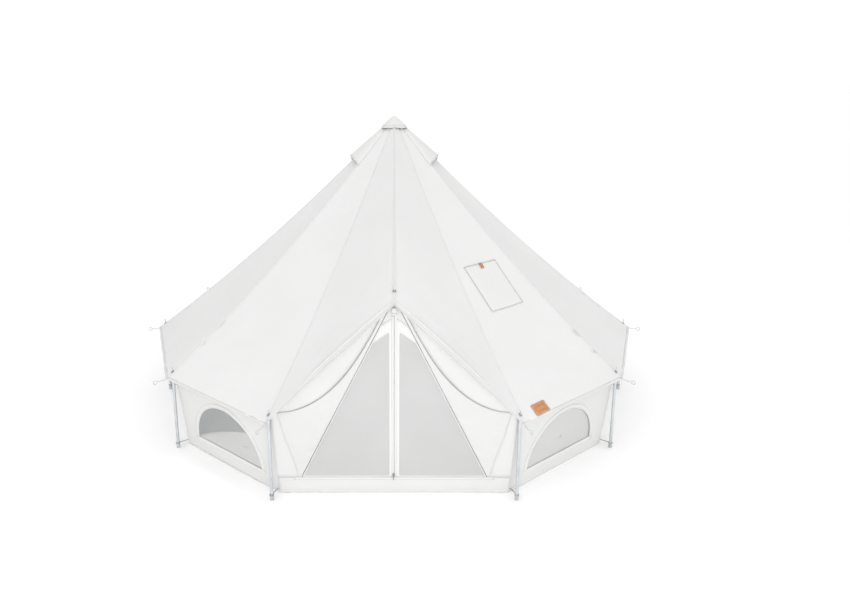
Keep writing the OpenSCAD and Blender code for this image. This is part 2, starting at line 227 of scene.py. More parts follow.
def settle(obj, pins, frames, slack, gravity, solid):
    """Blender's cloth on obj, held at its pins, run until it hangs still and then put into the mesh."""
    stiffness = 16.0
    solid.modifiers.new("solid", "COLLISION")
    solid.collision.thickness_outer = 0.002
    solid.collision.cloth_friction = 12
    obj.vertex_groups.new(name="pins").add(list(pins), 1.0, "REPLACE")
    cloth = obj.modifiers.new("cloth", "CLOTH")
    now = cloth.settings
    now.vertex_group_mass = "pins"
    now.quality = 9
    now.mass = 0.30
    now.tension_stiffness = now.compression_stiffness = stiffness
    now.shear_stiffness = stiffness * 0.35
    now.bending_stiffness = 0.4
    now.air_damping = 4
    now.shrink_min = -slack
    now.effector_weights.gravity = gravity
    cloth.collision_settings.distance_min = 0.003
    cloth.point_cache.frame_end = frames
    scene = bpy.context.scene
    for f in range(1, frames + 1):
        scene.frame_set(f)
    settled = obj.evaluated_get(bpy.context.evaluated_depsgraph_get()).data
    co = np.empty(3 * len(settled.vertices), np.float32)
    settled.vertices.foreach_get("co", co)
    obj.modifiers.remove(cloth)
    obj.data.vertices.foreach_set("co", co)
    obj.data.update()
    scene.frame_set(1)


def grid_of(obj, cols):
    """An object's vertices as rows of cols points."""
    co = np.empty(3 * len(obj.data.vertices), np.float32)
    obj.data.vertices.foreach_get("co", co)
    return [list(row) for row in co.astype(float).reshape(-1, cols, 3)]


def mirrored(rows):
    """The same grid on the other side of the door, turned so that it still faces outwards."""
    return [[np.array([-p[0], p[1], p[2]]) for p in reversed(row)] for row in rows]


def flipped(rows, name):
    """The rows of a right-hand piece as they are, or mirrored for the left-hand one."""
    return rows if name == "right" else mirrored(rows)


def tape_rows(path, across, width, crown=0.0008):
    """A tape along a path, facing forwards: five points across, the middle crowned."""
    front = np.array([0.0, -1.0, 0.0])
    return [[p + across * width * s + front * crown * (1 - (2 * s) ** 2)
             for s in (-0.5, -0.3, 0.0, 0.3, 0.5)] for p in path]


def tube(name, path, radius, sides=10, closed_ends=True):
    """A round tube along a path, as a mesh; radius may be one number or one for each point."""
    path = [np.asarray(p, float) for p in path]
    radii = radius if hasattr(radius, "__len__") else [radius] * len(path)
    tangent = [path[min(i + 1, len(path) - 1)] - path[max(i - 1, 0)] for i in range(len(path))]
    tangent = [t / np.linalg.norm(t) for t in tangent]
    side = np.cross(tangent[0], [0.0, 0.0, 1.0])
    if np.linalg.norm(side) < 0.1:
        side = np.cross(tangent[0], [0.0, 1.0, 0.0])
    points, faces, uvs = [], [], []
    run = 0.0
    for i, (p, t) in enumerate(zip(path, tangent)):
        side = side - t * np.dot(side, t)
        side /= np.linalg.norm(side)
        up = np.cross(t, side)
        run += np.linalg.norm(p - path[i - 1]) if i else 0.0
        for j in range(sides):
            a = 2 * math.pi * j / sides
            points.append(p + radii[i] * (side * math.cos(a) + up * math.sin(a)))
            uvs.append((j / sides * 2 * math.pi * radii[i], run))
    for i in range(len(path) - 1):
        for j in range(sides):
            a, b = i * sides + j, i * sides + (j + 1) % sides
            faces.append((a, b, b + sides, a + sides))
    if closed_ends:
        faces.append(tuple(range(sides))[::-1])
        faces.append(tuple((len(path) - 1) * sides + j for j in range(sides)))
    return new_object(name, points, faces, uvs)


def spline(points, steps):
    """A smooth curve through a few points, steps points to each stretch."""
    pts = [np.asarray(p, float) for p in points]
    pts = [2 * pts[0] - pts[1]] + pts + [2 * pts[-1] - pts[-2]]
    out = []
    for i in range(1, len(pts) - 2):
        p0, p1, p2, p3 = pts[i - 1:i + 3]
        for s in range(steps):
            t = s / steps
            out.append(0.5 * (2 * p1 + (p2 - p0) * t + (2 * p0 - 5 * p1 + 4 * p2 - p3) * t * t
                              + (3 * p1 - p0 - 3 * p2 + p3) * t ** 3))
    return out + [pts[-2]]


def resample(path, count):
    """The same path with evenly spaced points."""
    p = np.array(path)
    run = np.concatenate([[0], np.cumsum(np.linalg.norm(np.diff(p, axis=0), axis=1))])
    at = np.linspace(0, run[-1], count)
    return [np.array([np.interp(s, run, p[:, i]) for i in range(3)]) for s in at]


def path_length(path):
    return float(sum(np.linalg.norm(b - a) for a, b in zip(path[:-1], path[1:])))


# ---- Materials ----
class Shader:
    """A new material and short calls for its nodes."""

    def __init__(self, name, roughness=0.8, **sockets):
        self.mat = bpy.data.materials.new(name)
        self.mat.use_nodes = True
        self.nodes = self.mat.node_tree.nodes
        self.links = self.mat.node_tree.links
        self.main = self.nodes["Principled BSDF"]
        self.main.inputs["Roughness"].default_value = roughness
        for socket, value in sockets.items():
            self.main.inputs[socket.replace("_", " ")].default_value = value
        self.uv = self.node("ShaderNodeTexCoord").outputs["UV"]
        self.place = self.node("ShaderNodeTexCoord").outputs["Object"]
        self.bumped = None

    def node(self, kind, **values):
        n = self.nodes.new(kind)
        for key, value in values.items():
            setattr(n, key, value)
        return n

    def scaled(self, vector, scale, turn=0.0):
        n = self.node("ShaderNodeMapping")
        n.inputs["Scale"].default_value = scale
        n.inputs["Rotation"].default_value = (0, 0, turn)
        self.links.new(vector, n.inputs["Vector"])
        return n.outputs["Vector"]

    def noise(self, vector, scale, detail=3.0, rough=0.5):
        n = self.node("ShaderNodeTexNoise")
        n.inputs["Scale"].default_value = scale
        n.inputs["Detail"].default_value = detail
        n.inputs["Roughness"].default_value = rough
        self.links.new(vector, n.inputs["Vector"])
        return n.outputs["Fac"]

    def wave(self, vector, period, direction, distortion=0.0):
        n = self.node("ShaderNodeTexWave", wave_type="BANDS", bands_direction=direction)
        n.inputs["Scale"].default_value = math.pi / 10 / period
        n.inputs["Distortion"].default_value = distortion
        self.links.new(vector, n.inputs["Vector"])
        return n.outputs["Fac"]

    def math(self, kind, a, b=None, clamp=False):
        n = self.node("ShaderNodeMath", operation=kind, use_clamp=clamp)
        for socket, value in zip(n.inputs, (a, b)):
            if isinstance(value, (int, float)):
                socket.default_value = value
            elif value is not None:
                self.links.new(value, socket)
        return n.outputs[0]

    def times(self, a, b):
        return self.math("MULTIPLY", a, b)

    def span(self, factor, low, width):
        """A value that runs from low to low + width as factor runs from 0 to 1."""
        return self.math("ADD", low, self.times(factor, width))

    def ramp(self, factor, stops):
        n = self.node("ShaderNodeValToRGB")
        while len(n.color_ramp.elements) < len(stops):
            n.color_ramp.elements.new(0.5)
        for element, (at, colour) in zip(n.color_ramp.elements, stops):
            element.position = at
            element.color = (*colour, 1.0)
        self.links.new(factor, n.inputs["Fac"])
        return n.outputs["Color"]

    def two_tone(self, factor, colour, dark, light=1.0, ends=(0.3, 0.7)):
        """The colour, from dark times itself to light times itself."""
        return self.ramp(factor, [(ends[0], dimmed(colour, dark)), (ends[1], dimmed(colour, light))])

    def mix(self, factor, a, b):
        n = self.node("ShaderNodeMix", data_type="RGBA")
        for socket, value in ((n.inputs[0], factor), (n.inputs[6], a), (n.inputs[7], b)):
            if isinstance(value, tuple):
                socket.default_value = (*value, 1.0)
            elif isinstance(value, (int, float)):
                socket.default_value = value
            else:
                self.links.new(value, socket)
        return n.outputs[2]

    def bump(self, height, distance, strength=1.0):
        n = self.node("ShaderNodeBump")
        n.inputs["Distance"].default_value = distance
        n.inputs["Strength"].default_value = strength
        self.links.new(height, n.inputs["Height"])
        if self.bumped:
            self.links.new(self.bumped, n.inputs["Normal"])
        self.bumped = n.outputs["Normal"]

    def done(self, colour=None, rough=None, alpha=None):
        if colour is not None:
            self.links.new(colour, self.main.inputs["Base Color"])
        if rough is not None:
            self.links.new(rough, self.main.inputs["Roughness"])
        if alpha is not None:
            self.links.new(alpha, self.main.inputs["Alpha"])
        if self.bumped:
            self.links.new(self.bumped, self.main.inputs["Normal"])
        return self.mat


def dimmed(colour, factor):
    return tuple(min(1.0, c * factor) for c in colour)


def canvas(name, colour, thread=0.0011, dust=0.0):
    """Matt cotton canvas: plain weave, slubs, soft cloudiness and a little dust near the ground."""
    s = Shader(name, roughness=0.92, Sheen_Weight=0.12, Sheen_Roughness=0.6, Specular_IOR_Level=0.25)
    warp = s.wave(s.uv, thread, "X", distortion=0.6)
    weft = s.wave(s.uv, thread * 1.08, "Y", distortion=0.6)
    weave = s.times(warp, weft)
    slubs = s.noise(s.scaled(s.uv, (38, 520, 1)), 1.0, 2.0)
    clouds = s.noise(s.place, 1.7, 4.0, 0.55)
    tint = s.two_tone(clouds, colour, 0.982, 1.018)
    tint = s.mix(s.times(slubs, 0.10), tint, dimmed(colour, 0.93))
    tint = s.mix(s.times(s.math("SUBTRACT", 1.0, weave), 0.05), tint, dimmed(colour, 0.82))
    if dust:
        split = s.node("ShaderNodeSeparateXYZ")
        s.links.new(s.place, split.inputs[0])
        low_down = s.math("SUBTRACT", 1.0, s.math("DIVIDE", split.outputs[2], 0.16), clamp=True)
        patchy = s.times(low_down, s.noise(s.place, 9.0, 5.0, 0.6))
        tint = s.mix(s.times(patchy, dust), tint, (0.52, 0.48, 0.41))
    s.bump(weave, 0.00035, 0.5)
    s.bump(slubs, 0.0004, 0.35)
    s.bump(s.noise(s.place, 14.0, 3.0), 0.0035, 0.35)
    return s.done(tint, s.span(clouds, 0.86, 0.1))


def tape(name, colour, thread_colour, stitch=0.0045, rows=2):
    """Sewn tape or felled seam: weave across, and one or two rows of stitches along its length."""
    s = Shader(name, roughness=0.9, Specular_IOR_Level=0.25, Sheen_Weight=0.1)
    weft = s.wave(s.uv, 0.0013, "Y")
    dash = s.wave(s.uv, stitch, "Y")
    split = s.node("ShaderNodeSeparateXYZ")
    s.links.new(s.uv, split.inputs[0])
    off = s.math("ABSOLUTE", split.outputs[0])
    line = 0.0075 if rows == 2 else 0.0
    near = s.math("LESS_THAN", s.math("ABSOLUTE", s.math("SUBTRACT", off, line)), 0.0011)
    thread = s.times(near, s.math("GREATER_THAN", dash, 0.32))
    tint = s.two_tone(s.noise(s.place, 5.0, 3.0), colour, 0.97)
    tint = s.mix(s.times(thread, 0.8), tint, thread_colour)
    s.bump(weft, 0.0003, 0.4)
    s.bump(thread, 0.0006, 0.8)
    return s.done(tint)


def net_cloth(name, colour, cover):
    """Fine mosquito net: open cells between threads; cover is the share of light the cloth holds back."""
    s = Shader(name, roughness=0.75, Specular_IOR_Level=0.3)
    threads = s.math("MAXIMUM", s.wave(s.uv, 0.0019, "X"), s.wave(s.uv, 0.0019, "Y"))
    tint = s.two_tone(s.noise(s.place, 3.0, 3.0), colour, 0.97)
    tint = s.mix(s.times(threads, 0.2), tint, dimmed(colour, 1.12))
    alpha = s.math("ADD", cover - 0.14, s.times(threads, 0.2), clamp=True)
    s.bump(threads, 0.0004, 0.5)
    return s.done(tint, None, alpha)


def galvanised(name, colour, dark=0.8):
    """Galvanised tube: soft spangle, fine drawn lines and dull patches."""
    s = Shader(name, roughness=0.36, Metallic=0.85)
    cells = s.node("ShaderNodeTexVoronoi")
    cells.inputs["Scale"].default_value = 95
    s.links.new(s.place, cells.inputs["Vector"])
    spangle = s.times(cells.outputs["Distance"], 1.1)
    drawn = s.noise(s.scaled(s.place, (700, 700, 9)), 1.0, 2.0)
    dull = s.noise(s.place, 11.0, 5.0, 0.6)
    tint = s.two_tone(dull, colour, dark, ends=(0.32, 0.68))
    tint = s.mix(s.times(spangle, 0.25), tint, dimmed(colour, 1.15))
    rough = s.span(dull, 0.28, 0.22)
    s.bump(drawn, 0.0002, 0.3)
    s.bump(spangle, 0.0002, 0.25)
    return s.done(tint, rough)


def moulded(name, colour, roughness=0.6):
    s = Shader(name, roughness=roughness, Specular_IOR_Level=0.4)
    grain = s.noise(s.place, 420.0, 3.0)
    worn = s.noise(s.place, 16.0, 5.0, 0.6)
    tint = s.two_tone(worn, colour, 0.85, 1.2, (0.35, 0.7))
    s.bump(grain, 0.0003, 0.4)
    return s.done(tint, s.span(worn, roughness - 0.08, 0.18))


def coated_sheet(name, colour):
    """Groundsheet: coated woven tape, with creases."""
    s = Shader(name, roughness=0.5, Specular_IOR_Level=0.4)
    weave = s.times(s.wave(s.uv, 0.004, "X"), s.wave(s.uv, 0.004, "Y"))
    worn = s.noise(s.place, 2.3, 5.0, 0.6)
    tint = s.two_tone(worn, colour, 0.85, 1.12)
    s.bump(weave, 0.0008, 0.5)
    s.bump(s.noise(s.place, 5.0, 4.0), 0.006, 0.5)
    return s.done(tint, s.span(worn, 0.42, 0.2))


def leather(name, colour):
    s = Shader(name, roughness=0.55, Specular_IOR_Level=0.4, Coat_Weight=0.05)
    cells = s.node("ShaderNodeTexVoronoi", feature="DISTANCE_TO_EDGE")
    cells.inputs["Scale"].default_value = 520
    s.links.new(s.place, cells.inputs["Vector"])
    pores = s.math("MINIMUM", cells.outputs["Distance"], 0.08)
    worn = s.noise(s.place, 30.0, 5.0, 0.65)
    tint = s.ramp(worn, [(0.3, dimmed(colour, 0.78)), (0.5, colour), (0.72, dimmed(colour, 1.22))])
    s.bump(pores, 0.002, 0.5)
    s.bump(worn, 0.001, 0.3)
    return s.done(tint, s.span(worn, 0.45, 0.22))


def laid_rope(name, colour):
    s = Shader(name, roughness=0.85, Sheen_Weight=0.2)
    strands = s.wave(s.scaled(s.uv, (1, 1, 1), 0.75), 0.0032, "X")
    fuzz = s.noise(s.place, 600.0, 2.0)
    tint = s.two_tone(strands, colour, 0.72, ends=(0.1, 0.6))
    tint = s.mix(s.times(fuzz, 0.15), tint, (0.8, 0.79, 0.74))
    s.bump(strands, 0.0012, 0.8)
    return s.done(tint)


ROOF = canvas("roof_canvas", (0.675, 0.675, 0.672))
WALL = canvas("wall_canvas", (0.635, 0.635, 0.630), dust=0.15)
FLAP = canvas("door_canvas", (0.605, 0.605, 0.600))
COVER = canvas("cover_canvas", (0.665, 0.665, 0.660))
HOOD = canvas("hood_canvas", (0.665, 0.665, 0.660))
SEAM = tape("seam_tape", (0.672, 0.672, 0.668), (0.60, 0.60, 0.58))
HEM = tape("hem_tape", (0.650, 0.650, 0.645), (0.56, 0.555, 0.53))
# Tape on the door's rolled free edge. Its dark colour is partly the tape itself and partly a painted shadow
# line along that edge.
BINDING_AND_SHADOW = tape("edge_binding_painted_shadow", (0.45, 0.43, 0.39), (0.22, 0.21, 0.19))
PIPING = tape("light_piping", (0.60, 0.60, 0.59), (0.5, 0.5, 0.48))
WEBBING = tape("webbing", (0.66, 0.655, 0.63), (0.5, 0.49, 0.46))
ZIP_TAPE = tape("zip_tape", (0.640, 0.640, 0.632), (0.58, 0.58, 0.57))
DARK_STITCH = tape("dark_stitching", (0.62, 0.615, 0.60), (0.13, 0.13, 0.12), stitch=0.026, rows=1)
NET = net_cloth("mosquito_net", (0.505, 0.505, 0.50), 0.88)
WINDOW_NET = net_cloth("window_net", (0.60, 0.60, 0.595), 0.34)
VENT_NET = net_cloth("vent_net", (0.16, 0.16, 0.16), 0.9)
STEEL = galvanised("galvanised_steel", (0.62, 0.65, 0.67))
DULL_METAL = galvanised("eyelet_metal", (0.36, 0.37, 0.38), 0.7)
FOOT = moulded("foot_rubber", (0.42, 0.43, 0.44), 0.6)
PLUG = moulded("dark_plug", (0.035, 0.035, 0.038), 0.7)
TEETH = moulded("zip_teeth", (0.58, 0.58, 0.575), 0.5)
FLOOR_SHEET = coated_sheet("groundsheet_cloth", (0.30, 0.32, 0.33))
HEAT_CLOTH = canvas("heat_cloth", (0.36, 0.37, 0.37), thread=0.002)
LEATHER = leather("tan_leather", (0.50, 0.23, 0.10))
EMBOSS = leather("pressed_leather", (0.30, 0.13, 0.055))
ROPE = laid_rope("laid_rope", (0.62, 0.60, 0.54))


def dress(obj, material, body="root", replaces=()):
    obj.data.materials.clear()
    obj.data.materials.append(material)
    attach(obj, body)
    if replaces:
        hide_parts(*replaces)
    return obj


def sewn(name, grids, thickness, material, body="root"):
    """A small piece of several grids on top of a cloth."""
    return dress(thicken(many_grids(name, grids), thickness), material, body)


def cloth_piece(name, rows, material, replaces, body="root", closed=False,
                thickness=CLOTH_T, offset=-1.0):
    """A cloth, and the area of its surface before it gets its thickness."""
    cloth = grid_object(name, rows, closed)
    area = surface_area(cloth)
    return dress(thicken(cloth, thickness, offset), material, body, replaces), area


# ---- Camera, light and floor ----
def make_camera():
    """The photograph's viewpoint: in front of the door, a little above the peak, looking down at it."""
    cam = bpy.data.cameras.new("camera")
    cam.sensor_width = 36.0
    cam.lens = 31.47
    cam.shift_x = 0.0361
    cam.clip_end = 200
    obj = bpy.data.objects.new("camera", cam)
    obj.location = (0.0, -7.7186, 3.6901)
    obj.rotation_euler = (math.radians(90 - 19.38), 0.0, 0.0)
    bpy.context.scene.collection.objects.link(obj)
    bpy.context.scene.camera = obj


def softbox(name, place, target, size, power):
    data = bpy.data.lights.new(name, "AREA")
    data.shape = "SQUARE"
    data.size = size
    data.energy = power
    obj = bpy.data.objects.new(name, data)
    obj.location = place
    obj.rotation_euler = (Vector(target) - Vector(place)).to_track_quat("-Z", "Y").to_euler()
    bpy.context.scene.collection.objects.link(obj)


def make_studio():
    scene = bpy.context.scene
    scene.view_settings.view_transform = "Standard"
    world = bpy.data.worlds.new("studio")
    world.use_nodes = True
    world.node_tree.nodes["Background"].inputs["Color"].default_value = (1, 1, 1, 1)
    world.node_tree.nodes["Background"].inputs["Strength"].default_value = 1.05
    scene.world = world
    softbox("key", (-5.0, -7.0, 8.5), (0, 0, 1.0), 6.0, 80)
    softbox("fill", (7.5, -3.0, 5.0), (0, 0, 1.0), 5.0, 30)
    softbox("front", (0.5, -12.0, 1.2), (0, 0, 1.0), 7.0, 620)
    glow = bpy.data.lights.new("canvas_glow", "POINT")
    glow.energy = 80
    glow.shadow_soft_size = 0.5
    lamp = bpy.data.objects.new("canvas_glow", glow)
    lamp.location = (0.0, -0.3, 1.5)
    scene.collection.objects.link(lamp)
    corners = [(x, y, -0.0015) for x, y in ((-60, -60), (60, -60), (60, 60), (-60, 60))]
    floor = new_object("studio_floor", corners, [(0, 1, 2, 3)])
    s = Shader("studio_floor", roughness=0.95, Specular_IOR_Level=0.1)
    tones = [(at, (grey, grey, grey)) for at, grey in ((0.3, 0.955), (0.7, 0.965))]
    floor.data.materials.append(s.done(s.ramp(s.noise(s.place, 0.4), tones)))


# ---- Guy ropes: a short rope with an eye at each eave corner ----
def rope_route(k):
    """From the eave corner out, round the eye and back to the splice."""
    start = EAVE_R + 0.002
    out = polar(1.0, corner_a(k), 0.0)
    up = np.array([0.0, 0.0, 1.0])
    dip = math.radians(6)
    ahead = out * math.cos(dip) - up * math.sin(dip)
    lift = out * math.sin(dip) + up * math.cos(dip)
    base = polar(start, corner_a(k), hip_z(start) - 0.002)
    stem = [base + ahead * d - up * 0.004 * math.sin(math.pi * d / 0.08) for d in np.linspace(0, 0.078, 12)]
    centre = base + ahead * (0.080 + EYE_R)
    eye = [centre + EYE_R * (-ahead * math.cos(a) + lift * math.sin(a))
           for a in np.linspace(0.12 * math.pi, 1.88 * math.pi, 26)]
    return stem + eye


def make_ropes():
    for k in range(SIDES + 1):
        route = rope_route(k)
        curve = bpy.data.curves.new(f"guy_rope_{k}", "CURVE")
        curve.dimensions = "3D"
        curve.bevel_depth = ROPE_R
        curve.bevel_resolution = 4
        line = curve.splines.new("POLY")
        line.points.add(len(route) - 1)
        for point, p in zip(line.points, route):
            point.co = (*p, 1.0)
        rope = bpy.data.objects.new(f"guy_rope_{k}", curve)
        bpy.context.scene.collection.objects.link(rope)
        rope.data.materials.append(ROPE)
        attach(rope, "root")
        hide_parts("guy_ropes")
        a, b = route[9], route[13]
        knot_path = [a + (b - a) * t for t in np.linspace(-0.15, 1.0, 9)]
        swell = [0.0030 + 0.0034 * math.sin(math.pi * t) ** 0.6 for t in np.linspace(0.02, 0.98, 9)]
        knot = tube(f"rope_whipping_{k}", knot_path, swell, 10)
        dress(knot, WEBBING)
        tuple(route[0])
        path_length(route)


# ---- Roof ----
GORE_COLS = 16
GORE_RADII = [ROOF_TOP_R + (EAVE_R - ROOF_TOP_R) * i / 72 for i in range(73)]


def gore_rows(k):
    return [[roof_point(k, j / GORE_COLS, r) for j in range(GORE_COLS + 1)] for r in GORE_RADII]


def on_cloth(k, u, r, lift):
    """A point lying on the flat faces of gore k's mesh."""
    j = min(int(u * GORE_COLS), GORE_COLS - 1)
    t = u * GORE_COLS - j
    return roof_point(k, j / GORE_COLS, r, lift) * (1 - t) + roof_point(k, (j + 1) / GORE_COLS, r, lift) * t


def make_roof():
    gores = [gore_rows(k) for k in ["right", *range(SIDES), "left"]]
    roof = weld(many_grids("roof_canvas", gores))
    thicken(roof, CLOTH_T)
    nodes = [f"roof_gore_{k}" for k in range(SIDES)] + ["roof_front_left", "roof_front_right"]
    dress(roof, ROOF, replaces=nodes)
    seams = make_roof_seams()


def seam_rows(k, width=0.022, u=0.0):
    """A felled seam lying on gore k beside its edge u, which is 0 or 1."""
    rows = []
    for r in GORE_RADII[1:]:
        a, b = roof_edges(k, r)
        share = width / np.linalg.norm(b - a)
        start = u - share if u else 0.0
        rows.append([on_cloth(k, start + share * t, r, 0.0007 + 0.0016 * t * (1 - t))
                     for t in (0.0, 0.2, 0.5, 0.8, 1.0)])
    return rows


def eave_rows(k, width=0.026):
    """The hem along the eave of gore k."""
    return [[on_cloth(k, u, EAVE_R - width * s / 1.25, 0.0008 + 0.0004 * math.sin(math.pi * s))
             for s in (1.0, 0.7, 0.4, 0.15, 0.0)] for u in np.arange(2 * GORE_COLS + 1) / (2 * GORE_COLS)]


def make_roof_seams():
    """A whole seam at each hip and two half ones on the ridge over the door, and the hem of the eave."""
    seams = [seam_rows(k) for k in [*range(SIDES), "left"]]
    seams += [seam_rows("right", 0.011), seam_rows("left", 0.011, 1.0)]
    hems = [eave_rows(k) for k in [*range(SIDES), "right", "left"]]
    return [sewn("roof_seams", seams, TAPE_T, SEAM),
            sewn("eave_hem", hems, TAPE_T, HEM)]


# ---- Peak cap and vent hoods ----
CAP_R, CAP_TIP_Z, CAP_RIM_Z, CAP_RISE, CAP_FLAT_R = 0.128, 2.974, 2.868, 0.010, 0.016


def cap_point(r, a, lift=0.0):
    """A point of the peak cap: a blunt cone whose rim rises over the door's ridge."""
    turn = math.degrees(math.atan2(math.sin(a), math.cos(a)))
    rim = CAP_RIM_Z + CAP_RISE * math.exp(-(turn / 35) ** 2)
    t = max(r - CAP_FLAT_R, 0.0) / (CAP_R - CAP_FLAT_R)
    top = CAP_TIP_Z - 0.004 * min(r / CAP_FLAT_R, 1.0) ** 2
    seam = 0.0016 * math.cos(11 * a / 2) ** 16 + 0.0012 * math.sin(7 * a + 0.5) * smooth(t)
    return polar(r, a, top + (rim - top) * t ** 1.06 + 0.0012 + lift + seam * smooth(t * 4))


def make_cap():
    turns = [2 * math.pi * j / 72 for j in range(72)]
    radii = (0.0015, 0.006, 0.011, CAP_FLAT_R, 0.024, 0.036, 0.052, 0.070, 0.090, 0.108, 0.122, CAP_R)
    rim = ((0.1285, -0.003), (0.1275, -0.006))
    rows = [[cap_point(r, a, lift) for a in turns] for r, lift in [(r, 0.0) for r in radii] + list(rim)]
    cap, area = cloth_piece("peak_cap", rows, HOOD, ["roof_cap"], closed=True,
                            thickness=0.0018)
    band = [[cap_point(r, a, 0.0004 + lift) for r, lift in
             ((0.108, 0), (0.112, 0.0008), (0.117, 0.001), (0.122, 0.0008), (0.1275, 0))]
            for a in turns + [2 * math.pi]]
    hem = sewn("cap_hem", [band], 0.0012, HEM)
    piping = tube("cap_piping", [cap_point(0.1285, a, -0.005) for a in turns + [0.0]], 0.0014, 8, False)
    dress(piping, PIPING)


def roof_height(r, a):
    k = math.floor((a - FRONT_HALF) / STEP)
    return hip_z(r * math.cos(a - side_a(k)) / math.cos(STEP / 2))


HOOD_IN_R, HOOD_OUT_R = 0.112, 0.448


def hood_point(r, j, lift):
    """A point of the right vent hood: j runs from -1 to 1 across it."""
    a = HOOD_A + j * HOOD_SPREAD
    crown = (1 - j * j) ** 0.8
    return polar(r, a, roof_height(r, a) + 0.0025 + lift * crown)


def hood_rows():
    rows = []
    for r in (HOOD_IN_R, 0.16, 0.21, 0.26, 0.31, 0.36, 0.40, 0.430, HOOD_OUT_R):
        t = (r - HOOD_IN_R) / (HOOD_OUT_R - HOOD_IN_R)
        lift = 0.016 + 0.056 * t ** 0.8
        rows.append([hood_point(r, j, lift + 0.002 * hills(j * 4, r * 20, 3))
                     for j in np.linspace(-1, 1, 25)])
    return rows


def make_hoods():
    for side in ("right", "left"):
        rows = hood_rows()
        rod = [p + np.array([0, 0, -0.001]) for p in rows[-1]]
        net = [[hood_point(0.418, j * 0.94, 0.052 * s) + np.array([0, 0, -0.003])
                for j in np.linspace(-1, 1, 25)] for s in (1.0, 0.66, 0.33, 0.0)]
        rows, net, rod = flipped(rows, side), flipped(net, side), flipped([rod], side)[0]
        hood, area = cloth_piece(f"vent_hood_{side}_cloth", rows, HOOD, [f"vent_hood_{side}"],
                                 thickness=0.0018)
        piping = tube(f"vent_piping_{side}", rod, 0.0042, 10)
        dress(piping, HEM)
        mesh = grid_object(f"vent_net_{side}", net)
        dress(mesh, VENT_NET, replaces=["vent_nets"])


# ---- Walls ----
FOOT_Y = WALL_FOOT_R * math.cos(STEP / 2)
TOP_Y = WALL_TOP_R * math.cos(STEP / 2)
WALL_TILT = math.atan((TOP_Y - FOOT_Y) / WALL_TOP_Z)
WALL_HALF_FOOT = WALL_FOOT_R * math.sin(STEP / 2)
WALL_HALF_TOP = WALL_TOP_R * math.sin(STEP / 2)
WALL_H = 0.792
WALL_FOOT_UP = 0.002
WINDOW_MIDDLE = SILL_Z + 0.17


def wall_place(k, x, y, out=0.0):
    """A point of side wall k: x along it from the middle, y up it, out of it by out."""
    a = side_a(k)
    back = FOOT_Y + y * math.sin(WALL_TILT) + out * math.cos(WALL_TILT)
    z = y * math.cos(WALL_TILT) - out * math.sin(WALL_TILT)
    return np.array([back * math.sin(a) + x * math.cos(a), -back * math.cos(a) + x * math.sin(a), z])


def wall_half(y):
    return WALL_HALF_FOOT + (WALL_HALF_TOP - WALL_HALF_FOOT) * y / WALL_TOP_Z


def wall_cloth(k, x, y, out=0.0):
    """The wall's cloth: hangs from the roof, pulled to its corners, soft upright folds between."""
    half = wall_half(y)
    u = min(max(x / half, -1.0), 1.0)
    middle = (1 - u * u) * (0.3 if k in (0, SIDES - 1) else 1.0)
    folds = 0.006 * middle * hills(x * 5.5, y * 1.1, k + 40)
    folds += 0.0028 * middle * hills(x * 13, y * 2.4, k + 60)
    drag = 0.0
    for side in (-1, 1):
        for level in (0.0, WALL_H):
            inward = (1 - side * u) * half
            away = math.hypot(inward, abs(y - level))
            turn = math.atan2(abs(y - level) + 0.01, inward + 0.01)
            drag += 0.0035 * math.exp(-away / 0.22) * math.sin(9 * turn + k) * smooth(inward / 0.05)
    bow = -0.006 * middle * math.sin(math.pi * min(y / WALL_H, 1.0))
    return wall_place(k, x, y, out + folds + drag + bow)


def plain_wall_rows(k, cols=22, rows=16):
    heights = [WALL_H - (WALL_H - WALL_FOOT_UP) * i / rows for i in range(rows + 1)]
    return [[wall_cloth(k, wall_half(y) * (2 * j / cols - 1), y) for j in range(cols + 1)] for y in heights]


def half_moon_edge(angle, radius):
    """Where a ray from the window's middle meets the half-moon's outline."""
    dx, dy = math.cos(angle), math.sin(angle)
    lift = WINDOW_MIDDLE - SILL_Z
    reach = math.sqrt((lift * dy) ** 2 - (lift * lift - radius * radius)) - lift * dy
    if dy < 0:
        reach = min(reach, lift / -dy)
    return reach * dx, WINDOW_MIDDLE + reach * dy


def wall_edge(angle):
    """Where a ray from the window's middle meets the wall's outline."""
    dx, dy = math.cos(angle), math.sin(angle)
    slope = (WALL_HALF_TOP - WALL_HALF_FOOT) / WALL_TOP_Z
    reach = (WALL_HALF_FOOT + slope * WINDOW_MIDDLE) / max(abs(dx) - slope * dy, 1e-6)
    if dy > 0:
        reach = min(reach, (WALL_H - WINDOW_MIDDLE) / dy)
    elif dy < 0:
        reach = min(reach, (WINDOW_MIDDLE - WALL_FOOT_UP) / -dy)
    return reach * dx, WINDOW_MIDDLE + reach * dy


def window_angles(count, corners):
    """Even ray angles round the window's middle, with the rays to the corners among them."""
    angles = set(np.linspace(-math.pi, math.pi, count)[:-1])
    for x, y in corners:
        angles |= {math.atan2(y - WINDOW_MIDDLE, side * x) for side in (1, -1)}
    return sorted(angles)


def window_wall_rows(k):
    corners = [(WINDOW_R, SILL_Z), (wall_half(WALL_FOOT_UP), WALL_FOOT_UP), (wall_half(WALL_H), WALL_H)]
    rays = [(half_moon_edge(a, WINDOW_R), wall_edge(a)) for a in window_angles(97, corners)]
    return [[wall_cloth(k, ix + (ox - ix) * t, iy + (oy - iy) * t) for (ix, iy), (ox, oy) in rays]
            for t in np.linspace(1, 0, 11)]


def moon_rows(radius, place):
    """A half-moon of cloth: rows from its outline to its middle; place gives the point for x and y."""
    outline = [half_moon_edge(a, radius) for a in window_angles(73, [(radius, SILL_Z)])]
    return [[place(x * t, WINDOW_MIDDLE + (y - WINDOW_MIDDLE) * t) for x, y in outline]
            for t in np.linspace(1, 0.02, 10)]


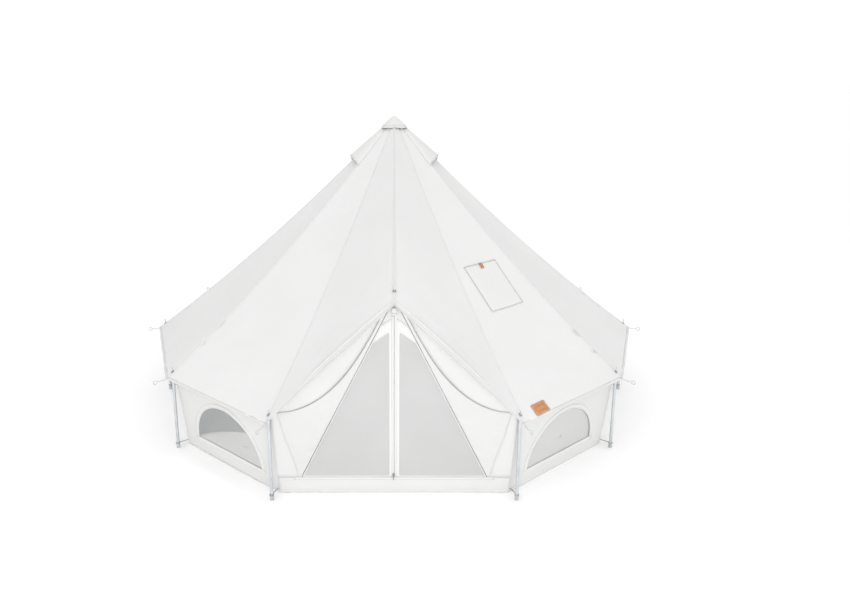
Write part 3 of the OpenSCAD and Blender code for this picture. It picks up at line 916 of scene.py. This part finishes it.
def moon_path(radius, count=72, low=0.0):
    """The half-moon's arc, in wall coordinates, from one end of the sill to the other."""
    return [(radius * math.cos(a), SILL_Z + low + radius * math.sin(a))
            for a in np.linspace(0, math.pi, count)]


def wall_band(k, starts, ends, out):
    """A crowned tape on side wall k, between two paths with matching points."""
    return [[wall_cloth(k, x0 + (x1 - x0) * s, y0 + (y1 - y0) * s, out + 0.0012 * math.sin(math.pi * s))
             for s in ACROSS] for (x0, y0), (x1, y1) in zip(starts, ends)]


def moon_band(k, inner, outer, out):
    return wall_band(k, moon_path(WINDOW_R + inner), moon_path(WINDOW_R + outer), out)


def wall_hems(k):
    """Bottom hem of the wall and the upright seams at its two ends."""
    foot = []
    for x in np.linspace(-1, 1, 44):
        foot.append([wall_cloth(k, x * wall_half(y), y, 0.0012 + 0.0012 * math.sin(math.pi * s))
                     for s, y in zip(ACROSS, (0.005, 0.012, 0.02, 0.028, 0.036))])
    posts = [[[wall_cloth(k, side * (wall_half(y) - d), y, 0.0012 + 0.001 * math.sin(math.pi * d / 0.02))
               for d in (0.0, 0.005, 0.01, 0.015, 0.02)] for y in np.linspace(0.004, WALL_H - 0.004, 30)]
             for side in (-1, 1)]
    return [foot] + posts


def make_walls():
    plain_sides = range(1, SIDES - 1)
    plain = weld(many_grids("side_walls", [plain_wall_rows(k) for k in plain_sides]))
    dress(thicken(plain, CLOTH_T), WALL, replaces=["wall_panels"])
    hems = sewn("side_wall_hems", [g for k in plain_sides for g in wall_hems(k)], HEM_T, HEM)
    for name, k in (("right", 0), ("left", SIDES - 1)):
        make_window_wall(name, k)


def make_window_wall(name, k):
    wall, area = cloth_piece(f"window_wall_{name}", window_wall_rows(k), WALL, [f"wall_{name}_window"],
                             closed=True)
    xs = np.linspace(-WINDOW_R - 0.040, WINDOW_R + 0.040, 50)
    sill = wall_band(k, [(x, SILL_Z - 0.034) for x in xs], [(x, SILL_Z + 0.006) for x in xs], 0.0016)
    band = sewn(f"window_band_{name}", [moon_band(k, -0.004, 0.040, 0.0016), sill], HEM_T, COVER)
    lines = [moon_band(k, 0.001, 0.009, 0.0036), moon_band(k, 0.034, 0.039, 0.0034)]
    zip_line = sewn(f"window_zip_{name}", lines, 0.0012, ZIP_TAPE)
    hems = sewn(f"window_wall_hems_{name}", wall_hems(k), HEM_T, HEM)
    rows = moon_rows(WINDOW_R - 0.001, lambda x, y: wall_cloth(k, x, y, -0.0005))
    net = grid_object(f"window_net_{name}", rows, closed=True)
    dress(net, WINDOW_NET, replaces=["window_nets"])


def make_window_covers():
    """Canvas covers on the inside: the right one closed, the left one let down towards the floor."""
    radius = WINDOW_R + 0.018
    hinge_y, gap = SILL_Z + 0.004, 0.010
    for name, k, turn in (("right", 0, 0.0), ("left", SIDES - 1, math.radians(105))):

        def place(x, y):
            up = max(y - hinge_y, 0.0)
            soft = 0.0025 * hills(x * 6, up * 5, 80 + k) * smooth(up / 0.1)
            return wall_place(k, x, hinge_y + up * math.cos(turn) + soft * math.sin(turn),
                              -gap - up * math.sin(turn) + soft * math.cos(turn))

        cover, area = cloth_piece(f"window_cover_{name}_cloth", moon_rows(radius, place), COVER,
                                  [f"window_cover_{name}"], f"cover_{name}", closed=True, offset=0.0)
        piping = tube(f"cover_edge_{name}", [place(x, y) for x, y in moon_path(radius - 0.002, 60, 0.004)],
                      0.003, 8)
        dress(piping, HEM, f"cover_{name}")


def wall_corner(z):
    """The corner between the front wall and the right window wall, at height z."""
    return polar(WALL_FOOT_R + (WALL_TOP_R - WALL_FOOT_R) * z / WALL_TOP_Z, FRONT_HALF, z)


def front_outline(t):
    """The front wall's outer edge, t from 0 at the bottom corner, over the top corner, to 1 at the peak."""
    low, high = wall_corner(BAND_Z), wall_corner(0.785)
    peak = np.array([0.022, -FRONT_Y, 1.752])
    bend = 0.35
    if t < bend:
        return low + (high - low) * (t / bend)
    s = (t - bend) / (1 - bend)
    return high + (peak - high) * s + np.array([0, 0, 0.028 * math.sin(math.pi * s)])


def front_wall_rows(rows=40, cols=16):
    """The right front wall, from the peak down; each row runs from the door's edge to the outer edge."""
    grid = []
    for t in (1 - i / rows for i in range(rows + 1)):
        z = BAND_Z + (SCREEN_TOP_Z - BAND_Z) * t
        inner = np.array([fold_x(z) + 0.003, -FRONT_Y, z])
        row = []
        for u in (j / cols for j in range(cols + 1)):
            p = inner + (front_outline(t) - inner) * u
            soft = math.sin(math.pi * u) * (0.006 * hills(p[0] * 3.5, p[2] * 2.5, 90) - 0.004)
            row.append(p + np.array([0, soft, 0]))
        grid.append(row)
    return grid


def band_point(u, z, out=0.0):
    """A point of the band under the door: u from -1 to 1 between the corners of the front walls."""
    corner = wall_corner(z)
    reach = smooth((abs(u) - 0.78) / 0.22)
    soft = 0.0025 * (1 - reach) * (math.sin(math.pi * z / BAND_Z) + hills(u * 4, z * 6, 95))
    y = -FRONT_Y + (corner[1] + FRONT_Y) * reach
    return np.array([u * corner[0], y - soft - out, z])


def make_front():
    for name, side in (("right", 1), ("left", -1)):
        wall, area = cloth_piece(f"front_wall_{name}_cloth", flipped(front_wall_rows(), name), WALL,
                                 [f"front_wall_{name}"])
        along = np.array([side * math.cos(FOLD_LEAN), 0.0, math.sin(FOLD_LEAN)])
        strips = []
        for low, high, material in ((BAND_Z, COIL_Z, ZIP_TAPE), (COIL_Z, COIL_TOP_Z, DARK_STITCH)):
            path = [np.array([side * (fold_x(z) + 0.008), -FRONT_Y - 0.0014, z])
                    for z in np.linspace(low, high, 40)]
            rows = [row[::side] for row in tape_rows(path, along, 0.009)]
            strips.append(sewn(f"door_edge_zip_{name}_{len(strips)}", [rows], TAPE_T, material))
    rows = [[band_point(u, z) for u in np.linspace(-1, 1, 61)] for z in np.linspace(BAND_Z, 0.002, 9)]
    band, _ = cloth_piece("door_band", rows, WALL, ["threshold_band"], thickness=0.0018)
    hems = []
    for z0, z1, reach in ((0.004, 0.030, 1.0), (BAND_Z - 0.026, BAND_Z - 0.001, 0.86)):
        hems.append([[band_point(u, z0 + (z1 - z0) * s, 0.0008 + 0.0006 * math.sin(math.pi * s))
                      for s in ACROSS] for u in np.linspace(-reach, reach, 61)])
    hem = sewn("door_band_hems", hems, 0.0008, HEM)


# ---- Door screens ----
def between(a, b, count):
    return [a + (b - a) * i / count for i in range(count)]


def screen_loops():
    """Outer and inner outline of the right screen's canvas frame, with matching points."""
    low, side = BAND_Z + 0.014, 0.016
    outer = [(0.0006, BAND_Z + 0.003), (fold_x(BAND_Z) - 0.006, BAND_Z + 0.003),
             (fold_x(SCREEN_TOP_Z) - 0.003, SCREEN_TOP_Z), (0.0006, SCREEN_TOP_Z)]
    inner = [(ZIP_HALF, low), (fold_x(low) - side, low), (fold_x(NET_SIDE_Z) - side, NET_SIDE_Z),
             (ZIP_HALF, NET_TOP_Z)]
    loops = []
    for corners in (outer, inner):
        ends = [np.array(c) for c in corners[1:] + corners[:1]]
        loops.append([p for a, b, count in zip(corners, ends, (24, 44, 6, 44))
                      for p in between(np.array(a), b, count)])
    return loops


def screen_point(x, z, out=0.0):
    ripple = 0.0016 * hills(x * 7, z * 3, 101)
    return np.array([x, -FRONT_Y - out - ripple, z])


def screen_net_rows(rows=29, cols=19):
    low = BAND_Z + 0.0135
    grid = []
    for t in (i / rows for i in range(rows + 1)):
        side_z = NET_SIDE_Z + (low - NET_SIDE_Z) * t
        left = np.array([ZIP_HALF - 0.0005, NET_TOP_Z + (low - NET_TOP_Z) * t])
        right = np.array([fold_x(side_z) - 0.0155, side_z])
        grid.append([screen_point(*(left + (right - left) * u),
                                  out=0.006 * math.sin(math.pi * u) * math.sin(math.pi * t))
                     for u in (j / cols for j in range(cols + 1))])
    return grid


def make_screens():
    outer, inner = screen_loops()
    for name in ("right", "left"):
        body = f"screen_{name}"
        rows = [[screen_point(*(o + (i - o) * t)) for o, i in zip(outer, inner)][::-1]
                for t in np.linspace(0, 1, 5)]
        cloth, area = cloth_piece(f"screen_frame_{name}", flipped(rows, name), WALL, [f"door_frame_{name}"],
                                  body, closed=True, offset=0.0)
        hem_rows = [[screen_point(*(i + (o - i) * t * 0.5), out=0.0009 + 0.0006 * math.sin(math.pi * t))
                     for o, i in zip(outer, inner)] for t in ACROSS]
        hem = grid_object(f"screen_hem_{name}", flipped(hem_rows, name), closed=True)
        dress(thicken(hem, TAPE_T), COVER, body)
        net = grid_object(f"screen_net_{name}", flipped(screen_net_rows(), name))
        dress(net, NET, body, [f"door_net_{name}"])
    make_zip()


BOX_FACES = ((0, 1, 3, 2), (4, 6, 7, 5), (0, 4, 5, 1), (2, 3, 7, 6), (0, 2, 6, 4), (1, 5, 7, 3))


def make_zip(count=240):
    """The tape and the row of coil teeth on the centre line, both on the left screen."""
    low, high = BAND_Z + 0.006, BAND_Z + 1.486
    rows = [[np.array([x, -FRONT_Y - 0.0014 - c, z]) for x, c in
             ((-0.026, 0.0), (-0.018, 0.0002), (-0.010, 0.0003), (-0.003, 0.0003), (-0.0008, 0.0))]
            for z in np.linspace(high, low, 60)]
    tape_piece = sewn("door_zip_tape", [rows], TAPE_T, ZIP_TAPE, "screen_left")
    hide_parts("door_zip")
    points, faces = [], []
    for i in range(count):
        z = low + (high - low) * (i + 0.5) / count
        x0 = -0.0062 if i % 2 else -0.0052
        faces += [tuple(len(points) + v for v in f) for f in BOX_FACES]
        points += [(x, y, z + dz) for x in (x0, x0 + 0.0046)
                   for y in (-FRONT_Y - 0.0018, -FRONT_Y - 0.0030) for dz in (-0.0021, 0.0021)]
    teeth = new_object("door_zip_teeth", points, faces)
    for p in teeth.data.polygons:
        p.use_smooth = False
    dress(teeth, TEETH, "screen_left")


# ---- Canvas doors, tied back ----
FLAP_COLS = 30
TIE_ROW = 45
FLAP_RISE = 0.135


def flap_edges():
    """The right canvas door: its edge on the wall and its free edge, matching points from top to bottom."""
    free = spline([(0.036, -2.208, 1.703), (0.092, -2.211, 1.653), (0.173, -2.211, 1.492),
                   (0.296, -2.213, 1.275), (0.420, -2.217, 1.101), (0.559, -2.225, 0.961),
                   (0.700, -2.235, 0.867), (0.837, -2.247, 0.818), (0.947, -2.259, 0.809),
                   (0.970, -2.261, 0.806)], 8)
    hem = spline([(0.970, -2.261, 0.806), (0.941, -2.252, 0.691), (0.908, -2.241, 0.555),
                  (0.848, -2.223, 0.342), (0.806, -2.209, 0.166)], 10)
    edge = resample(free, TIE_ROW + 1) + resample(hem, 24)[1:]
    run = np.concatenate([[0], np.cumsum([np.linalg.norm(b - a) for a, b in zip(edge[:-1], edge[1:])])])
    heights = FLAP_TOP_Z + (BAND_Z + 0.008 - FLAP_TOP_Z) * (run / run[-1]) ** 0.92
    return [np.array([fold_x(z) + 0.004, -FLAP_Y, z]) for z in heights], edge


def lie_close(p):
    """Keep a point of the folded door near the front wall, so that the closed door clears the screens."""
    away = max((p[0] - fold_x(p[2])) * math.cos(FOLD_LEAN), 0.0)
    limit = 0.003 + FLAP_RISE * away
    out = -FLAP_Y - p[1]
    if out > 0.6 * limit:
        out = limit * (0.6 + 0.4 * math.tanh((out / limit - 0.6) / 0.4))
    return np.array([p[0], -FLAP_Y - out, p[2]])


def hanging_flap():
    """The right canvas door: folded back, tied at the front corner and left to hang between."""
    fixed, edge = flap_edges()
    tie = edge[TIE_ROW]
    out = np.array([0.0, -1.0, 0.0])
    rows = []
    for a, b in zip(fixed, edge):
        width = np.linalg.norm(b - a)
        row = []
        for j in range(FLAP_COLS + 1):
            t = j / FLAP_COLS
            p = a + (b - a) * t
            belly = math.sin(math.pi * t ** 0.85)
            away = np.linalg.norm(p - tie)
            turn = math.atan2(p[2] - tie[2], tie[0] - p[0] + 0.02)
            pleat = math.sin(13 * turn + 0.6) * math.exp(-away / 0.34) * smooth(away / 0.10)
            soft = hills(p[0] * 4.2, p[2] * 2.6, 7)
            reach = 0.018 * width * belly + 0.008 * pleat * belly ** 0.5 + 0.006 * soft * belly
            row.append(lie_close(p + out * reach - np.array([0, 0, 0.05 * width * belly])))
        rows.append(row)
    cloth = grid_object("flap_cloth", rows)
    behind = [[np.array([0.0, row[0][1], row[0][2]])] + row for row in front_wall_rows()]
    wall = grid_object("flap_stop", [[p - np.array([0, 0.004, 0]) for p in row] for row in behind])
    cols = FLAP_COLS + 1
    pins = [i * cols for i in range(len(rows))] + list(range(cols))
    pins += [i * cols - 1 for i in range(1, len(rows) + 1)]
    settle(cloth, pins, 60, slack=0.012, solid=wall, gravity=0.6)
    rows = [[lie_close(p) for p in row] for row in grid_of(cloth, cols)]
    for spent in (cloth, wall):
        bpy.data.objects.remove(spent)
    return rows


def make_flaps():
    rows = hanging_flap()
    for name, side in (("right", 1), ("left", -1)):
        body = f"flap_{name}"
        cloth, _ = cloth_piece(f"canvas_door_{name}", flipped(rows, name), FLAP, [f"door_flap_{name}"],
                               body, offset=0.0)
        edge = [row[-1] * np.array([side, 1.0, 1.0]) for row in rows]
        path = edge[3:TIE_ROW + 1]
        # The rolled free edge, in the dark tape whose colour carries a painted shadow line.
        roll = tube(f"door_roll_painted_shadow_{name}", path, [0.0015 + 0.002 * smooth(i / 14) for i in range(len(path))])
        dress(roll, BINDING_AND_SHADOW, body)
        hem = tube(f"door_hem_{name}", edge[TIE_ROW:], 0.0022, 8)
        dress(hem, HEM, body)
        loop = [edge[TIE_ROW] + np.array([side * (0.012 + 0.016 * math.cos(a)), 0.002,
                                          0.004 + 0.020 * math.sin(a)])
                for a in np.linspace(0, 2 * math.pi, 20)]
        strap = tube(f"door_tie_{name}", loop, 0.0028, 8, closed_ends=False)
        dress(strap, WEBBING, body)


# ---- Stove opening, badge and small sewn parts ----
def on_right_gore(x, y, r_mid, lift):
    """A point of gore 0 from its middle line: x along the eave, y up the slope from hip radius r_mid."""
    slope = math.atan2(hip_z(r_mid - 0.1) - hip_z(r_mid + 0.1), 0.2 * math.cos(STEP / 2))
    r = r_mid - y * math.cos(slope) / math.cos(STEP / 2)
    chord = 2 * r * math.sin(STEP / 2)
    return roof_point(0, 0.5 + x / chord, r, lift)


def stove_point(x, y, lift):
    """A point of the stove opening, x and y from its middle."""
    return on_right_gore(STOVE_SIDE + x, y, STOVE_R, lift)


def stove_rows(size, lift, cols=22, rows=26, pucker=0.0):
    grid = []
    for y in (size[1] * (0.5 - i / rows) for i in range(rows + 1)):
        row = []
        for x in (size[0] * (j / cols - 0.5) for j in range(cols + 1)):
            rim = max(abs(x) / size[0], abs(y) / size[1]) * 2
            wave = pucker * math.sin(x * 62 + y * 9) * math.sin(y * 55 + 1.2) * smooth((rim - 0.55) * 2.2)
            swell = 0.004 * (1 - rim ** 4) + 0.002 * hills(x * 9, y * 9, 31)
            row.append(stove_point(x, y, lift + wave + (swell if pucker else 0.0)))
        grid.append(row)
    return grid


def edge_tape(size, inset, width, lift):
    """Tape rows along the four sides of the stove cover: top, right, bottom and left."""
    hx, hy = size[0] / 2 - inset, size[1] / 2 - inset
    grids = []
    for sign, upright in ((1, False), (1, True), (-1, False), (-1, True)):
        rows = []
        for t in np.linspace(-1, 1, 30):
            row = []
            for s in (-0.5, -0.25, 0.0, 0.25, 0.5):
                x, y = (hx + s * width, -t * hy) if upright else (t * hx, hy + s * width)
                row.append(stove_point(sign * x, sign * y, lift + 0.0008 * (1 - 4 * s * s)))
            rows.append(row)
        grids.append(rows)
    return grids


def make_stove_opening():
    jack = thicken(grid_object("stove_jack_cloth", stove_rows((0.350, 0.430), 0.0024)), CLOTH_T)
    dress(jack, HEAT_CLOTH, replaces=["stove_jack"])
    body = "stove_cover"
    cover = thicken(grid_object("stove_cover_cloth", stove_rows(STOVE_SIZE, 0.0056, pucker=0.0012)), CLOTH_T)
    dress(cover, COVER, body, ["stove_cover"])
    stitch = sewn("stove_cover_stitching", edge_tape(STOVE_SIZE, 0.004, 0.005, 0.0070), 0.001, DARK_STITCH,
                  body)
    tab_rows = [[stove_point(x, y, 0.0125 + 0.004 * math.sin(math.pi * (y - 0.19) / 0.065))
                 for x in np.linspace(-0.020, 0.020, 8)] for y in np.linspace(0.252, 0.192, 12)]
    tab = sewn("stove_cover_tab", [tab_rows], 0.0026, LEATHER, body)
    stud = make_stud("tab_stud", stove_point(0.0, 0.228, 0.0178), roof_normal(0, STOVE_R), 0.0065)
    dress(stud, DULL_METAL, body)


def make_stud(name, place, normal, radius):
    """A small domed rivet."""
    n = Vector(normal).normalized()
    u = n.orthogonal().normalized()
    v = n.cross(u)
    rows = []
    for t in np.linspace(0.02, 1, 6):
        height = radius * 0.55 * math.sqrt(max(1 - t * t, 0))
        rows.append([np.array(Vector(place) + (u * math.cos(a) + v * math.sin(a)) * radius * t + n * height)
                     for a in np.linspace(0, 2 * math.pi, 17)[:-1]][::-1])
    return grid_object(name, rows, closed=True)


BADGE_AT, BADGE_SIZE, BADGE_R, BADGE_CORNER = -0.428, (0.170, 0.104), 2.507, 0.012


def badge_point(x, y, lift):
    """A point of the badge, x and y from its middle."""
    return on_right_gore(BADGE_AT + x, y, BADGE_R, lift)


def badge_rows(lift, cols=26, rows=16):
    width, height = BADGE_SIZE
    grid = []
    for y in (height * (0.5 - i / rows) for i in range(rows + 1)):
        rise = max(abs(y) - (height / 2 - BADGE_CORNER), 0.0)
        narrow = 1 - (BADGE_CORNER - math.sqrt(max(BADGE_CORNER ** 2 - rise ** 2, 0.0))) / (width / 2)
        row = []
        for x in (width * (j / cols - 0.5) * narrow for j in range(cols + 1)):
            rim = max(abs(x) / width, abs(y) / height) * 2
            row.append(badge_point(x, y, lift - 0.0014 * smooth((rim - 0.93) / 0.07)))
        grid.append(row)
    return grid


def rounded_frame(a, width, height, power):
    """The point at angle a of a frame with rounded corners; a higher power makes them tighter."""
    c, s = math.cos(a), math.sin(a)
    reach = (abs(c) ** power + abs(s) ** power) ** (-1 / power)
    return np.array([width / 2 * c * reach, height / 2 * s * reach])


def make_badge(stitches=64):
    """A plain leather badge with a stitched border and a pressed line pattern of nested frames."""
    hide = thicken(grid_object("leather_badge_hide", badge_rows(0.0048)), 0.003)
    dress(hide, LEATHER, replaces=["leather_badge"])
    for n, (w, h) in enumerate(((0.118, 0.060), (0.092, 0.036))):
        loop = [badge_point(*rounded_frame(a, w, h, 8), 0.0050) for a in np.linspace(0, 2 * math.pi, 49)]
        dress(tube(f"badge_frame_{n}", loop, 0.0011, 6, closed_ends=False), EMBOSS)
    width, height = (side - 0.016 for side in BADGE_SIZE)
    points, faces = [], []
    for i in range(stitches):
        a = 2 * math.pi * i / stitches
        here, there = (rounded_frame(turn, width, height, 10) for turn in (a, a + 0.045))
        run = there - here
        side = np.array([-run[1], run[0]]) / max(np.linalg.norm(run), 1e-6) * 0.0008
        start = len(points)
        points += [badge_point(*q, lift) for q in (here - side, there - side, there + side, here + side)
                   for lift in (0.0062, 0.0045)]
        faces.append((start, start + 2, start + 4, start + 6))
        for j in range(0, 8, 2):
            after = (j + 2) % 8
            faces.append((start + j, start + j + 1, start + after + 1, start + after))
    dress(new_object("badge_stitches", points, faces), HEM)


def make_peak_tab():
    """The short canvas tab that hangs at the door's peak, with its toggle."""
    rows = [[np.array([x, -2.222 - 0.004 * math.sin(math.pi * i / 10), 1.708 - 0.058 * i / 10])
             for x in np.linspace(-0.020, 0.020, 7)] for i in range(11)]
    sewn("peak_tab", [rows], 0.003, FLAP)
    toggle = tube("peak_toggle", [(x, -2.229, 1.662) for x in (-0.018, -0.008, 0.008, 0.018)],
                  [0.003, 0.0055, 0.0055, 0.003], 10)
    dress(toggle, WEBBING)


# ---- Groundsheet ----
def make_groundsheet():
    corners = [polar(WALL_FOOT_R - 0.013, corner_a(k), 0.0) for k in range(SIDES + 1)]
    ring = [p for a, b in zip(corners, corners[1:] + corners[:1]) for p in between(a, b, 10)]
    rows = []
    for t in np.linspace(1.0, 0.02, 26):
        crease = 0.0022 * smooth((1 - t) * 6)
        rows.append([np.array([x, y, 0.0032 + crease * abs(hills(x * 2.2, y * 2.2, 55))])
                     for x, y in (p[:2] * t for p in ring)])
    sheet = grid_object("groundsheet_cloth", rows, closed=True)
    uvs = sheet.data.uv_layers[0].data
    for loop in sheet.data.loops:
        uvs[loop.index].uv = sheet.data.vertices[loop.vertex_index].co.xy
    dress(thicken(sheet, 0.0010), FLOOR_SHEET, replaces=["groundsheet"])


# ---- CAD nodes that keep their shape ----
def paint_nodes():
    finishes = [
        (STEEL, ["centre_pole_lower", "centre_pole_upper", "door_pole_left", "door_pole_right",
                 "door_pole_connector", *(f"wall_pole_{k}" for k in range(SIDES + 1))]),
        (DULL_METAL, ["centre_pole_sleeve", "grommets", "wall_links", "zip_slider"]),
        (PLUG, ["centre_pole_foot", "centre_pole_cap"]),
        (FOOT, ["pole_feet"]),
    ]
    for material, names in finishes:
        for name in names:
            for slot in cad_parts[name].material_slots:
                slot.material = material


make_camera()
make_ropes()
make_studio()
make_roof()
make_cap()
make_hoods()
make_walls()
make_window_covers()
make_front()
make_screens()
make_flaps()
make_stove_opening()
make_badge()
make_peak_tab()
make_groundsheet()
paint_nodes()
